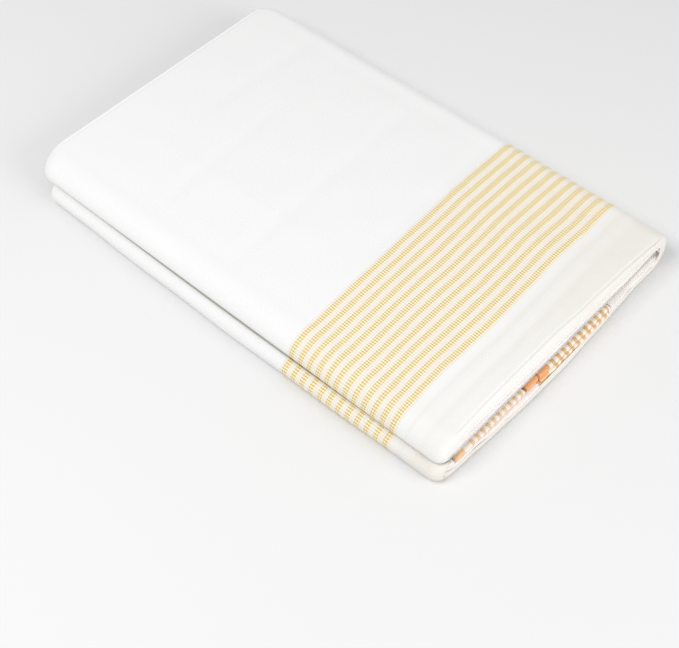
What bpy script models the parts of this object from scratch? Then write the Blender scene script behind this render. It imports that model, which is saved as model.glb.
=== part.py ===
"""A dhoti, a plain length of cotton cloth, folded flat into a pack.

Metres, +Z up. The origin lies under the middle of the pack, on the surface that it rests on. +Y runs along
the pack's long side to its far end. The near end, at -Y, shows the layers and the border folds. The last
fold, which joins the upper half to the lower half, runs along +X.

The cloth was folded into a flat slab of plies first, and the slab was then folded in half. So the outermost
ply is a wall all round the slab, bent with it into a U that lies on its side, and the hidden plies fill it.
"""

from functools import lru_cache
from math import cos, pi, radians, sin, sqrt

import bmesh
import bpy
from mathutils import Vector

# The pack
PACK_WIDTH = 0.2160
PACK_LENGTH = 0.3290
PACK_HEIGHT = 0.0232

# The cloth
CLOTH_WALL = 0.0010
SEAM_GAP = 0.0004
PARTING = 0.0006

# How the lower half lies under the upper one
LEFT_STEP = 0.0068
LEFT_BOW = 0.0022
FAR_STEP = 0.0140
NEAR_BULGE = 0.0040

# The rounded left folds: reach of the round, and height from the widest point to the outer face
UPPER_NOSE_REACH = 0.0150
UPPER_NOSE_RISE = 0.0088
LOWER_NOSE_REACH = 0.0070
LOWER_NOSE_RISE = 0.0055
INNER_NOSE_REACH = 0.0070

# The last fold on the right
LAST_FOLD_REACH = 0.0116
CROTCH_RADIUS = 0.0015
CROTCH_WEDGE = 0.0200

# The pack's corners, seen from above
CORNER_NEAR_LEFT = 0.0060
CORNER_FAR_LEFT = 0.0130
CORNER_NEAR_RIGHT = 0.0050
CORNER_FAR_RIGHT = 0.0100
CORE_CORNER_EXTRA = 0.0050
FOLD_SLACK = 0.0007

# The outer leaf's ends, turned in over a crest
CREST_RADIUS = 0.0028
UPPER_FLANGE = 0.0074
FOLD_FLANGE = 0.0022
LOWER_FLANGE = 0.0040
FLANGE_LEAN = 0.0003
FLANGE_FADE = 0.25
INSIDE_SETBACK = 0.0050
MOST_INSET = 0.66
LIP_ROOM = 0.0026

# The border folds, which lie on the lower half's near end
BORDER_LEFT_SPAN = (-0.0910, -0.0317)
BORDER_RIGHT_SPAN = (-0.0313, 0.0470)
BORDER_UNDER_SPAN = (-0.0215, 0.0455)
BORDER_Z = 0.0088
BORDER_UNDER_Z = 0.0054
BORDER_STAND_OUT = 0.0010
BORDER_UNDER_STAND_OUT = 0.0020
BORDER_DEPTH = 0.0120
BORDER_WALL = 0.0009
BORDER_LEG = 0.00065
BORDER_BULB = 0.00115
BORDER_BULB_LENGTH = 0.0050
RECESS_DEPTH = 0.0150
RECESS_CLEAR = 0.0006

# Bundles of hidden plies, counted from the parting outwards: share of the hidden height in the upper and in
# the lower half, how far each stands back from the pack's end in either half, and the depth of its rounding
PLY_BUNDLES = (
    {"up": (0.00, 0.12), "low": (0.00, 0.15), "up_back": 0.0008, "low_back": 0.0012, "round": 0.0006},
    {"up": (0.13, 0.25), "low": (0.16, 0.31), "up_back": 0.0012, "low_back": 0.0010, "round": 0.0006},
    {"up": (0.30, 0.64), "low": (0.35, 0.66), "up_back": 0.0020, "low_back": 0.0004, "round": 0.0016},
    {"up": (0.66, 1.00), "low": (0.76, 1.00), "up_back": 0.0020, "low_back": 0.0018, "round": 0.0020},
)
BUNDLE_PROFILE = (0.0, 0.14, 0.5, 0.86, 1.0)
BUNDLES_BEHIND_BORDER = 2
BUNDLES_BEHIND_UNDER = 3

HALF = (PACK_HEIGHT - PARTING) / 2
X_LEFT_LOW = -PACK_WIDTH / 2
X_LEFT_UP = X_LEFT_LOW + LEFT_STEP
X_RIGHT = PACK_WIDTH / 2
Y_NEAR_UP = -PACK_LENGTH / 2 + NEAR_BULGE
Y_FAR_UP = PACK_LENGTH / 2
Y_FAR_LOW = Y_FAR_UP - FAR_STEP
Z_MIDDLE = PACK_HEIGHT / 2

# Rows of the wall and of the hidden plies, by their distance from an end
LEAF_ROWS = (0.0045, 0.0080, 0.0130)
CORE_ROWS = (0.0055, 0.0085, 0.0130)

# Stations along a section, from the upper left fold round the last fold to the lower left fold
NOSE_STEPS = 6
ARC_STEPS = 9
UPPER_FLAT_SHARES = (0.30, 0.60)
LOWER_FLAT_XS = (
    BORDER_RIGHT_SPAN[1] + 2 * RECESS_CLEAR,
    BORDER_RIGHT_SPAN[1] + RECESS_CLEAR,
    BORDER_RIGHT_SPAN[0] - RECESS_CLEAR,
    BORDER_RIGHT_SPAN[0] - 2 * RECESS_CLEAR,
    BORDER_LEFT_SPAN[0] - RECESS_CLEAR,
    BORDER_LEFT_SPAN[0] - 2 * RECESS_CLEAR,
)


def clear_scene():
    """Remove every object of the open scene."""
    for obj in list(bpy.data.objects):
        bpy.data.objects.remove(obj, do_unlink=True)


def mix(a, b, share):
    """The value at this share of the way from a to b."""
    return a + (b - a) * share


def smooth(share):
    """A soft step from 0 to 1."""
    share = min(max(share, 0.0), 1.0)
    return share * share * (3 - 2 * share)


def quarter_ellipse(share):
    """Height of a quarter ellipse, 0 at its tip and 1 at its crown."""
    share = min(max(share, 0.0), 1.0)
    return sqrt(1 - (1 - share) ** 2)


def corner_inset(distance, radius):
    """How far a corner's arc pulls an edge in, at this distance from the end."""
    reach = min(max(radius - distance, 0.0), radius)
    return radius - sqrt(radius * radius - reach * reach)


def make_stations():
    """The section's stations, as (kind, value): a nose share, a flat share, an x or an arc's angle."""
    nose = [1 - cos(pi / 2 * step / (NOSE_STEPS - 1)) for step in range(NOSE_STEPS)]
    angles = [mix(90.0, -90.0, step / (ARC_STEPS - 1)) for step in range(ARC_STEPS)]
    stations = [("upper nose", share) for share in nose]
    stations += [("upper flat", share) for share in UPPER_FLAT_SHARES]
    stations += [("upper wedge", 1.0), ("upper wedge", 0.5)]
    stations += [("arc", angle) for angle in angles]
    stations += [("lower wedge", 0.5), ("lower wedge", 1.0)]
    stations += [("lower flat", x) for x in LOWER_FLAT_XS]
    stations += [("lower nose", share) for share in reversed(nose)]
    return stations


STATIONS = make_stations()
COUNT = len(STATIONS)


def lower_share(station):
    """0 in the upper half and 1 in the lower half, turning over round the last fold."""
    kind, value = station
    if kind == "arc":
        return (90.0 - value) / 180.0
    return 0.0 if kind.startswith("upper") else 1.0


@lru_cache(maxsize=None)
def section(end, distance, corner_extra=0.0):
    """Outer and inner path of the slab at this distance from one end, as (x, z) points, or at the middle."""
    upper_length = Y_FAR_UP - Y_NEAR_UP
    lower_length = Y_FAR_LOW - Y_NEAR_UP
    if end == "near":
        near_up, near_low = distance, distance
    elif end == "far":
        near_up, near_low = upper_length - distance, lower_length - distance
    else:
        near_up, near_low = upper_length / 2, lower_length / 2
    far_up, far_low = upper_length - near_up, lower_length - near_low
    near_left = CORNER_NEAR_LEFT + corner_extra
    far_left = CORNER_FAR_LEFT + corner_extra
    left_up = X_LEFT_UP + corner_inset(near_up, near_left) + corner_inset(far_up, far_left)
    low_share = near_low / (near_low + far_low)
    left_low = X_LEFT_LOW + LEFT_BOW * (1 - sin(pi * min(max(low_share, 0.0), 1.0)))
    left_low += corner_inset(near_low, near_left) + corner_inset(far_low, near_left)
    right_inset = corner_inset(near_up, CORNER_NEAR_RIGHT) + corner_inset(far_up, CORNER_FAR_RIGHT)
    fuller_inset = corner_inset(near_up, CORNER_NEAR_RIGHT + corner_extra)
    fuller_inset += corner_inset(far_up, CORNER_FAR_RIGHT + corner_extra)
    fold_centre = X_RIGHT - LAST_FOLD_REACH - right_inset
    fold_reach = LAST_FOLD_REACH + right_inset - fuller_inset
    wedge_foot = fold_centre - CROTCH_WEDGE
    outer, inner = [], []
    for kind, value in STATIONS:
        if kind == "upper nose":
            x = left_up + UPPER_NOSE_REACH * value
            widest = PACK_HEIGHT - UPPER_NOSE_RISE
            tuck = widest - (Z_MIDDLE + PARTING / 2)
            outer.append((x, widest + UPPER_NOSE_RISE * quarter_ellipse(value)))
            inner.append((x, widest - tuck * quarter_ellipse((x - left_up) / INNER_NOSE_REACH)))
        elif kind == "lower nose":
            x = left_low + LOWER_NOSE_REACH * value
            rise = HALF - LOWER_NOSE_RISE
            outer.append((x, LOWER_NOSE_RISE * (1 - quarter_ellipse((x - left_low) / LOWER_NOSE_REACH))))
            inner.append((x, LOWER_NOSE_RISE + rise * quarter_ellipse((x - left_low) / INNER_NOSE_REACH)))
        elif kind == "arc":
            angle = radians(value)
            outer.append((fold_centre + fold_reach * cos(angle), Z_MIDDLE * (1 + sin(angle))))
            inner.append((fold_centre + CROTCH_RADIUS * cos(angle), Z_MIDDLE + CROTCH_RADIUS * sin(angle)))
        else:
            side = 1 if kind.startswith("upper") else -1
            if kind == "upper flat":
                x = mix(left_up + UPPER_NOSE_REACH, wedge_foot, value)
            elif kind == "lower flat":
                x = value
            else:
                x = fold_centre - CROTCH_WEDGE * value
            opening = smooth(1 - (fold_centre - x) / CROTCH_WEDGE)
            outer.append((x, Z_MIDDLE * (1 + side)))
            inner.append((x, Z_MIDDLE + side * mix(PARTING / 2, CROTCH_RADIUS, opening)))
    return outer, inner


def bulge(x):
    """How far the lower half's near end stands out past the upper half's, at this x."""
    return NEAR_BULGE * sin(pi * min(max((x - X_LEFT_LOW) / PACK_WIDTH, 0.0), 1.0))


def flange_depth(station):
    """How far the outer leaf is turned down at its ends, before the limit set by the slab's thickness."""
    turn = lower_share(station)
    if turn < 0.5:
        return mix(UPPER_FLANGE, FOLD_FLANGE, smooth(turn / FLANGE_FADE))
    return mix(FOLD_FLANGE, LOWER_FLANGE, smooth((turn + FLANGE_FADE - 1) / FLANGE_FADE))


def parting_share(station):
    """0 in the rounded left folds, whose wall runs to the end, and 1 where the parting faces stand back."""
    kind, value = station
    if kind == "lower nose":
        return 0.0
    if kind == "upper nose":
        flat_part = UPPER_NOSE_REACH - INNER_NOSE_REACH
        return smooth((UPPER_NOSE_REACH * value - INNER_NOSE_REACH) / flat_part)
    return 1.0


def end_rows():
    """Rows of the outer leaf from its turned end inwards, as (distance, roll, flange)."""
    rows = [(-FLANGE_LEAN, 1.0, 1.0), (-FLANGE_LEAN / 2, 1.0, 0.5)]
    for angle in (0, 30, 60, 90):
        turn = radians(angle)
        rows.append((CREST_RADIUS * (1 - cos(turn)), 1 - sin(turn), 0.0))
    return rows + [(distance, 0.0, 0.0) for distance in LEAF_ROWS]


def leaf_rings():
    """Rings of the outer leaf's outer surface, from the near end to the far end."""
    near = [("near", row) for row in end_rows()]
    far = [("far", row) for row in reversed(end_rows())]
    rings = []
    for end, (distance, roll, flange) in near + [("middle", (0.0, 0.0, 0.0))] + far:
        outer, inner = section(end, distance)
        outer_ring, inner_ring = [], []
        for index, station in enumerate(STATIONS):
            turn = lower_share(station)
            open_share = 0.0 if end == "middle" else parting_share(station)
            setback = INSIDE_SETBACK * open_share * (1 - max(distance, 0.0) / LEAF_ROWS[-1])
            if station[0].endswith("nose"):
                inner_x, inner_z = inner[index]
            else:
                inner_x, inner_z = section(end, distance + setback)[1][index]
            out_point = Vector((outer[index][0], 0.0, outer[index][1]))
            in_point = Vector((inner_x, 0.0, inner_z))
            across = Vector((inner[index][0], 0.0, inner[index][1])) - out_point
            depth = min(flange_depth(station), MOST_INSET * across.length, max(across.length - LIP_ROOM, 0.0))
            rolled = min(CREST_RADIUS, depth)
            out_point += across.normalized() * (rolled * roll + (depth - rolled) * flange)
            near_y = Y_NEAR_UP - turn * bulge(out_point.x)
            far_y = mix(Y_FAR_UP, Y_FAR_LOW, turn)
            near_inner = mix(near_y, Y_NEAR_UP, open_share)
            if end == "near":
                out_point.y, in_point.y = near_y + distance, near_inner + distance + setback
            elif end == "far":
                out_point.y, in_point.y = far_y - distance, far_y - distance - setback
            else:
                out_point.y = in_point.y = (near_y + far_y) / 2
            outer_ring.append(out_point)
            inner_ring.append(in_point)
        rings.append(outer_ring + inner_ring[-2:0:-1])
    return rings


def ring_normals(rings):
    """Outward normals of a grid of closed rings."""
    size = len(rings[0])
    normals = []
    for row, ring in enumerate(rings):
        before = rings[max(row - 1, 0)]
        after = rings[min(row + 1, len(rings) - 1)]
        line = []
        for index in range(size):
            around = ring[(index + 1) % size] - ring[index - 1]
            along = after[index] - before[index]
            line.append(around.cross(along).normalized())
        normals.append(line)
    return normals


def paint(name, colour, roughness):
    """A plain cloth material."""
    material = bpy.data.materials.new(name)
    material.use_nodes = True
    shader = material.node_tree.nodes["Principled BSDF"]
    shader.inputs["Base Color"].default_value = (*colour, 1.0)
    shader.inputs["Roughness"].default_value = roughness
    shader.inputs["Metallic"].default_value = 0.0
    return material


def add_object(name, mesh_builder, material):
    """Turn a bmesh into an object with smooth faces and one material."""
    mesh = bpy.data.meshes.new(name)
    bmesh.ops.recalc_face_normals(mesh_builder, faces=mesh_builder.faces)
    if mesh_builder.calc_volume(signed=True) < 0:
        bmesh.ops.reverse_faces(mesh_builder, faces=mesh_builder.faces)
    mesh_builder.to_mesh(mesh)
    mesh_builder.free()
    mesh.shade_smooth()
    mesh.set_sharp_from_angle(angle=radians(50))
    mesh.materials.append(material)
    obj = bpy.data.objects.new(name, mesh)
    bpy.context.scene.collection.objects.link(obj)
    return obj


def bridge(mesh_builder, first, second, closed=True):
    """Faces between two rows of vertices of equal length."""
    size = len(first)
    for index in range(size if closed else size - 1):
        following = (index + 1) % size
        corners = (first[index], first[following], second[following], second[index])
        mesh_builder.faces.new(corners)


def make_outer_leaf(material):
    """The outermost ply: a wall round the whole slab, open between its turned ends."""
    rings = leaf_rings()
    normals = ring_normals(rings)
    build = bmesh.new()
    outside = [[build.verts.new(point) for point in ring] for ring in rings]
    inside = []
    for ring, line in zip(rings, normals):
        inside.append([build.verts.new(point - normal * CLOTH_WALL) for point, normal in zip(ring, line)])
    for row in range(len(rings) - 1):
        bridge(build, outside[row], outside[row + 1])
        bridge(build, inside[row + 1], inside[row])
    bridge(build, inside[0], outside[0])
    bridge(build, outside[-1], inside[-1])
    return add_object("outer_leaf", build, material)


def inset_path(outer, inner, distance):
    """Both paths of a section, moved inwards along their own normals."""
    ring = outer + inner[-2:0:-1]
    size = len(ring)
    moved = []
    for index, (x, z) in enumerate(ring):
        ahead = ring[(index + 1) % size]
        behind = ring[index - 1]
        tangent = Vector((ahead[0] - behind[0], ahead[1] - behind[1])).normalized()
        moved.append((x + tangent.y * distance, z - tangent.x * distance))
    moved_inner = [moved[0]] + moved[:COUNT - 1:-1] + [moved[COUNT - 1]]
    return moved[:COUNT], moved_inner


def is_recessed(station, bundle):
    """Whether a border fold takes this bundle's place at the near end."""
    kind, x = station
    if kind != "lower flat":
        return False
    under = BORDER_RIGHT_SPAN[0] - 1.5 * RECESS_CLEAR < x < BORDER_RIGHT_SPAN[1] + 1.5 * RECESS_CLEAR
    beside = BORDER_LEFT_SPAN[0] - 1.5 * RECESS_CLEAR < x < BORDER_RIGHT_SPAN[1] + 1.5 * RECESS_CLEAR
    return (under and bundle < BUNDLES_BEHIND_UNDER) or (beside and bundle < BUNDLES_BEHIND_BORDER)


def corner_setback(station, end):
    """How much further the hidden plies stand back where the outer leaf rounds the pack's corners."""
    kind, value = station
    if end == "middle":
        return 0.0
    if kind.endswith("nose"):
        return CORE_CORNER_EXTRA * (1 - value)
    if kind.endswith("wedge"):
        return CORE_CORNER_EXTRA * (1 - value)
    return CORE_CORNER_EXTRA + FOLD_SLACK if kind == "arc" else 0.0


@lru_cache(maxsize=None)
def core_paths(end, distance):
    """The outer and inner path of the hidden plies at this distance from one end."""
    outer, inner = inset_path(*section(end, distance, CORE_CORNER_EXTRA), CLOTH_WALL + SEAM_GAP)
    for index, (kind, angle) in enumerate(STATIONS):
        if kind == "arc":
            x, z = inner[index]
            inner[index] = (x + FOLD_SLACK * cos(radians(angle)), z + FOLD_SLACK * sin(radians(angle)))
    return outer, inner


def bundle_points(index, end):
    """The layered end of the hidden plies at one station, from the parting side outwards."""
    station = STATIONS[index]
    turn = lower_share(station)
    points = []
    for number, bundle in enumerate(PLY_BUNDLES):
        low = mix(bundle["up"][0], bundle["low"][0], turn)
        high = mix(bundle["up"][1], bundle["low"][1], turn)
        back = mix(bundle["up_back"], bundle["low_back"], turn) + corner_setback(station, end)
        for step in BUNDLE_PROFILE:
            share = mix(low, high, step)
            distance = back + bundle["round"] * (1 - sqrt(1 - (2 * step - 1) ** 2))
            outer, inner = core_paths(end, distance)
            x = mix(inner[index][0], outer[index][0], share)
            z = mix(inner[index][1], outer[index][1], share)
            if end == "far":
                y = mix(Y_FAR_UP, Y_FAR_LOW, turn) - distance
            elif is_recessed(station, number):
                y = Y_NEAR_UP + RECESS_DEPTH
            else:
                y = Y_NEAR_UP - turn * bulge(x) + distance
            points.append(Vector((x, y, z)))
    return points


def face_points(index):
    """The outer and the parting face of the hidden plies at one station, from the near to the far end."""
    station = STATIONS[index]
    far_y = mix(Y_FAR_UP, Y_FAR_LOW, lower_share(station))
    recess = RECESS_DEPTH + RECESS_CLEAR if is_recessed(station, 0) else 0.0
    rows = [("near", row) for row in CORE_ROWS] + [("middle", 0.0)]
    rows += [("far", row) for row in reversed(CORE_ROWS)]
    outer_face, parting_face = [], []
    for end, row in rows:
        distance = row + corner_setback(station, end)
        outer, inner = core_paths(end, distance)
        if end == "near":
            y = Y_NEAR_UP + distance
        elif end == "far":
            y = far_y - distance
        else:
            y = (Y_NEAR_UP + far_y) / 2
        outer_face.append(Vector((outer[index][0], y, outer[index][1])))
        parting_face.append(Vector((inner[index][0], max(y, Y_NEAR_UP + recess), inner[index][1])))
    return outer_face, parting_face


def make_hidden_plies(material):
    """Every ply inside the outer leaf, as one rounded body bent round the last fold and layered at its ends."""
    build = bmesh.new()
    rings = []
    for index in range(1, COUNT - 1):
        outer_face, parting_face = face_points(index)
        ring = bundle_points(index, "near") + outer_face
        ring += bundle_points(index, "far")[::-1] + parting_face[::-1]
        rings.append([build.verts.new(point) for point in ring])
    for first, second in zip(rings, rings[1:]):
        bridge(build, first, second)
    build.faces.new(rings[0])
    build.faces.new(rings[-1])
    return add_object("hidden_plies", build, material)


def fold_profile(wall, leg, bulb):
    """A folded ply seen from its end, as pairs of (depth, height) points on its two faces."""
    centre = []
    for depth in (BORDER_DEPTH, BORDER_BULB_LENGTH, 0.6 * BORDER_BULB_LENGTH):
        spread = mix(leg, bulb, smooth((BORDER_BULB_LENGTH - depth) / (0.6 * BORDER_BULB_LENGTH)))
        centre.append((depth, spread))
    front = wall / 2 + bulb
    arc = [(front - bulb * sin(radians(angle)), bulb * cos(radians(angle))) for angle in (0, 45, 90)]
    centre += arc
    centre += [(depth, -height) for depth, height in reversed(centre[:-1])]
    outside, inside = [], []
    for index, (depth, height) in enumerate(centre):
        behind = Vector(centre[max(index - 1, 0)])
        ahead = Vector(centre[min(index + 1, len(centre) - 1)])
        tangent = (ahead - behind).normalized()
        normal = Vector((-tangent.y, tangent.x)) * (-wall / 2)
        outside.append(Vector((depth, height)) + normal)
        inside.append(Vector((depth, height)) - normal)
    return outside, inside


def make_border_fold(name, span, z, stand_out, material):
    """One fold of the selvedge border: a ply turned back on itself, with its round front at the near end."""
    outside, inside = fold_profile(BORDER_WALL, BORDER_LEG, BORDER_BULB)
    profile = outside + inside[::-1]
    build = bmesh.new()
    rows = []
    for share in (0.0, 0.25, 0.5, 0.75, 1.0):
        x = mix(span[0], span[1], share)
        y = Y_NEAR_UP - stand_out
        rows.append([build.verts.new((x, y + point.x, z + point.y)) for point in profile])
    for first, second in zip(rows, rows[1:]):
        bridge(build, first, second)
    half = len(outside)
    for row in (rows[0], rows[-1]):
        for index in range(half - 1):
            partner = 2 * half - 1 - index
            build.faces.new((row[index], row[index + 1], row[partner - 1], row[partner]))
    return add_object(name, build, material)


def main():
    clear_scene()
    white = paint("white_cotton", (0.86, 0.86, 0.84), 0.85)
    plies = paint("white_plies", (0.82, 0.80, 0.78), 0.9)
    border = paint("border_cotton", (0.88, 0.55, 0.25), 0.8)
    make_outer_leaf(white)
    make_hidden_plies(plies)
    make_border_fold("border_fold_left", BORDER_LEFT_SPAN, BORDER_Z, BORDER_STAND_OUT, border)
    make_border_fold("border_fold_right", BORDER_RIGHT_SPAN, BORDER_Z, BORDER_STAND_OUT, border)
    make_border_fold("border_fold_under", BORDER_UNDER_SPAN, BORDER_UNDER_Z, BORDER_UNDER_STAND_OUT, border)


main()
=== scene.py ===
from math import ceil, cos, exp, pi, radians, sin, sqrt

import bmesh
import bpy
import numpy as np
from mathutils import Matrix, Vector


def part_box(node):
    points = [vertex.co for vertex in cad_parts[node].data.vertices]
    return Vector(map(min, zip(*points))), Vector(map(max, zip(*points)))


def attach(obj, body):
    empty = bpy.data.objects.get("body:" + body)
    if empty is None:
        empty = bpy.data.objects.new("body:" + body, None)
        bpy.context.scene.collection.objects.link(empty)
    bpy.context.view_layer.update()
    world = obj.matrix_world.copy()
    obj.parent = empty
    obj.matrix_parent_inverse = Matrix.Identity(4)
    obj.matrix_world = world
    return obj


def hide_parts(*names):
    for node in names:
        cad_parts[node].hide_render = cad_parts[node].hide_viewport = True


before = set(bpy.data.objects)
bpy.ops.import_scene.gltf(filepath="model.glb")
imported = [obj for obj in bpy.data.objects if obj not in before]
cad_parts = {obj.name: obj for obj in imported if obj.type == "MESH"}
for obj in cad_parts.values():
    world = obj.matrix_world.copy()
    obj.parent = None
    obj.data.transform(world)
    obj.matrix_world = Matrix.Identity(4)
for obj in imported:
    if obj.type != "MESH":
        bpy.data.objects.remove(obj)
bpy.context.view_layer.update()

# The outer leaf: the outermost ply of a dhoti, one long piece of thin white cotton with twelve gold stripes
# woven across it. The cloth was folded into a flat slab, and the slab in half, so this ply goes all round it.
# Only its folds hold it: its edges meet deep in the slit, and its ends are turned down over the plies.
LEAF_LOW, LEAF_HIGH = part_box("outer_leaf")
PACK_HEIGHT = LEAF_HIGH.z
Z_MIDDLE = PACK_HEIGHT / 2
PARTING = 0.0006
NEAR_BULGE = 0.0040
FAR_STEP = 0.0140
FAR_ROOM = 0.0003
Y_NEAR = LEAF_LOW.y + NEAR_BULGE
Y_FAR_UP = LEAF_HIGH.y - FAR_ROOM
Y_FAR_LOW = Y_FAR_UP - FAR_STEP
LEFT_STEP = 0.0068
X_LEFT_LOW = LEAF_LOW.x
X_LEFT_UP = X_LEFT_LOW + LEFT_STEP
X_RIGHT = LEAF_HIGH.x
LEFT_BOW = 0.0022
UPPER_NOSE_REACH = 0.0150
UPPER_NOSE_RISE = 0.0099
LOWER_NOSE_REACH = 0.0070
LOWER_NOSE_RISE = 0.0055
LAST_FOLD_REACH = 0.0116
CROTCH_RADIUS = 0.0009
CROTCH_WEDGE = 0.0170
LEFT_GAPE = 0.0003
LEFT_GAPE_REACH = 0.0160
CORNERS = {"near left": 0.0060, "far left": 0.0130, "near right": 0.0050, "far right": 0.0100}


def mix(a, b, share):
    """The value that lies this share of the way from a to b."""
    return a + (b - a) * share


def smooth(share):
    """A share held between 0 and 1, with a soft start and a soft end."""
    share = min(max(share, 0.0), 1.0)
    return share * share * (3 - 2 * share)


def quarter_ellipse(share):
    """How far a rounded edge has risen at this share of its reach."""
    share = min(max(share, 0.0), 1.0)
    return sqrt(1 - (1 - share) ** 2)


def corner_inset(distance, radius):
    """How far a rounded corner, seen from above, stands in at this distance from the end."""
    reach = min(max(radius - distance, 0.0), radius)
    return radius - sqrt(radius * radius - reach * reach)


def half_turn(station):
    """0 in the upper half of the pack and 1 in its lower half, turning over round the last fold."""
    kind, value = station
    if kind.endswith("arc"):
        return (90.0 - value) / 180.0
    return 0.0 if kind.startswith("upper") else 1.0


def fold_places(near, far, corner_extra):
    """Where the folds lie in the slab's cross-section, at these distances from its two ends."""
    inset = {}
    for corner, radius in CORNERS.items():
        distance = near if corner.startswith("near") else far
        inset[corner] = corner_inset(distance, radius + corner_extra)
    low_inset = inset["near left"] + corner_inset(far, CORNERS["near left"] + corner_extra)
    bow = LEFT_BOW * (1 - sin(pi * min(max(near / (near + far), 0.0), 1.0)))
    crotch_inset = corner_inset(near, CORNERS["near right"]) + corner_inset(far, CORNERS["far right"])
    return {
        "left up": X_LEFT_UP + inset["near left"] + inset["far left"],
        "left low": X_LEFT_LOW + low_inset + bow,
        "centre": X_RIGHT - LAST_FOLD_REACH - crotch_inset,
        "reach": LAST_FOLD_REACH + crotch_inset - inset["near right"] - inset["far right"],
    }


def flat_point(kind, value, places):
    """A point (x, z) of a flat stretch, on the slab's outside or in the slit."""
    side = 1 if kind.startswith("upper") else -1
    if kind == "upper outer flat":
        start = places["left up"] + UPPER_NOSE_REACH
    else:
        start = places["left up" if side > 0 else "left low"] + LOWER_NOSE_REACH
    x = mix(start, places["centre"], value)
    if kind.endswith("outer flat"):
        return x, Z_MIDDLE * (1 + side)
    opening = smooth(1 - (places["centre"] - x) / CROTCH_WEDGE)
    gape = LEFT_GAPE * smooth(1 - (x - start) / LEFT_GAPE_REACH)
    return x, Z_MIDDLE + side * (mix(PARTING / 2, CROTCH_RADIUS, opening) + gape)


def section_point(station, near, far, corner_extra=0.0):
    """A station's point (x, z), where near and far are its distances from the slab's two ends."""
    kind, value = station
    places = fold_places(near, far, corner_extra)
    if kind.endswith("flat"):
        return flat_point(kind, value, places)
    if kind == "outer arc":
        angle = radians(value)
        return places["centre"] + places["reach"] * cos(angle), Z_MIDDLE * (1 + sin(angle))
    if kind == "inner arc":
        angle = radians(value)
        return places["centre"] + CROTCH_RADIUS * cos(angle), Z_MIDDLE + CROTCH_RADIUS * sin(angle)
    turned = quarter_ellipse(value)
    slit = PARTING / 2 + LEFT_GAPE
    if kind == "upper nose outer":
        widest = PACK_HEIGHT - UPPER_NOSE_RISE
        return places["left up"] + UPPER_NOSE_REACH * value, widest + UPPER_NOSE_RISE * turned
    if kind == "upper nose inner":
        widest = PACK_HEIGHT - UPPER_NOSE_RISE
        return places["left up"] + LOWER_NOSE_REACH * value, widest - (widest - Z_MIDDLE - slit) * turned
    x = places["left low"] + LOWER_NOSE_REACH * value
    if kind == "lower nose outer":
        return x, LOWER_NOSE_RISE * (1 - turned)
    return x, LOWER_NOSE_RISE + (Z_MIDDLE - slit - LOWER_NOSE_RISE) * turned


NOSE_STEPS = 11
SLIT_STEPS = 26
TOP_STEPS = 64
LAST_FOLD_STEPS = 26
UNDERSIDE_STEPS = 30
CROTCH_TURN = 15


def shares(count, first=0):
    """Evenly spaced shares from 0 to 1, from this one on."""
    return [step / count for step in range(first, count + 1)]


def leaf_stations():
    """Stations all round the leaf, from one edge in the slit to the other."""
    nose = [1 - cos(pi / 2 * share) for share in shares(NOSE_STEPS)]
    arc = np.linspace(90, -90, LAST_FOLD_STEPS + 1)[1:]
    stations = [("inner arc", angle) for angle in range(0, 90, CROTCH_TURN)]
    stations += [("upper inner flat", 1 - share) for share in shares(SLIT_STEPS)]
    stations += [("upper nose inner", share) for share in reversed(nose[1:-1])]
    stations += [("upper nose outer", share) for share in nose]
    stations += [("upper outer flat", share) for share in shares(TOP_STEPS, 1)]
    stations += [("outer arc", angle) for angle in arc]
    stations += [("lower outer flat", 1 - share) for share in shares(UNDERSIDE_STEPS, 1)]
    stations += [("lower nose outer", share) for share in reversed(nose[:-1])]
    stations += [("lower nose inner", share) for share in nose[1:-1]]
    stations += [("lower inner flat", share) for share in shares(SLIT_STEPS)]
    stations += [("inner arc", angle) for angle in range(CROTCH_TURN - 90, 0, CROTCH_TURN)]
    return stations


def opposite(station):
    """The station on the slab's other face, towards which an end is turned."""
    kind, value = station
    return kind.replace("outer", "inner"), value


CREST_RADIUS = 0.0018
CREST_TURN = 15
FLANGE_ROWS = (1.0, 0.75, 0.5, 0.25)
END_ROWS = (0.0021, 0.0024, 0.0027, 0.0030, 0.0034, 0.0040, 0.0050, 0.0064, 0.0082, 0.0104)
LAST_END_ROW = 0.0130
ROW_PITCH = 0.0024


def leaf_rows():
    """Rows from end to end, as (end, distance, roll over the crest, way down the flange)."""
    turned = [(0.0, 1.0, share) for share in FLANGE_ROWS]
    for angle in range(0, 91, CREST_TURN):
        turn = radians(angle)
        turned.append((CREST_RADIUS * (1 - cos(turn)), 1 - sin(turn), 0.0))
    turned += [(distance, 0.0, 0.0) for distance in (*END_ROWS, LAST_END_ROW)]
    count = ceil((Y_FAR_UP - Y_NEAR) / ROW_PITCH)
    middle = [("middle", share, 0.0, 0.0) for share in shares(count)[1:-1]]
    return [("near", *row) for row in turned] + middle + [("far", *row) for row in reversed(turned)]


# How far the upper half's near end lies back at its crest, and the lower half's stands out, in millimetres
NEAR_PLACES = (-0.108, -0.085, -0.060, -0.030, 0.000, 0.030, 0.060, 0.075, 0.085, 0.093, 0.108)
CREST_BACK = (1.8, 2.5, 3.2, 3.6, 3.7, 2.5, 1.9, 1.2, 0.6, -0.2, -0.4)
LOWER_BULGE = (0.0, 1.5, 2.7, 3.6, 3.8, 2.5, 1.0, 0.0, 0.1, 0.2, 0.0)
MILLIMETRES = 1000
LIP_BACK = 0.0013
SHOULDER = 4
NEAR_FADE = 0.0450


def between_places(x, places, values):
    """A value at x, smoothly joined between the measured places."""
    for place, following, low, high in zip(places, places[1:], values, values[1:]):
        if x < following:
            return mix(low, high, smooth((x - place) / (following - place)))
    return values[-1]


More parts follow.
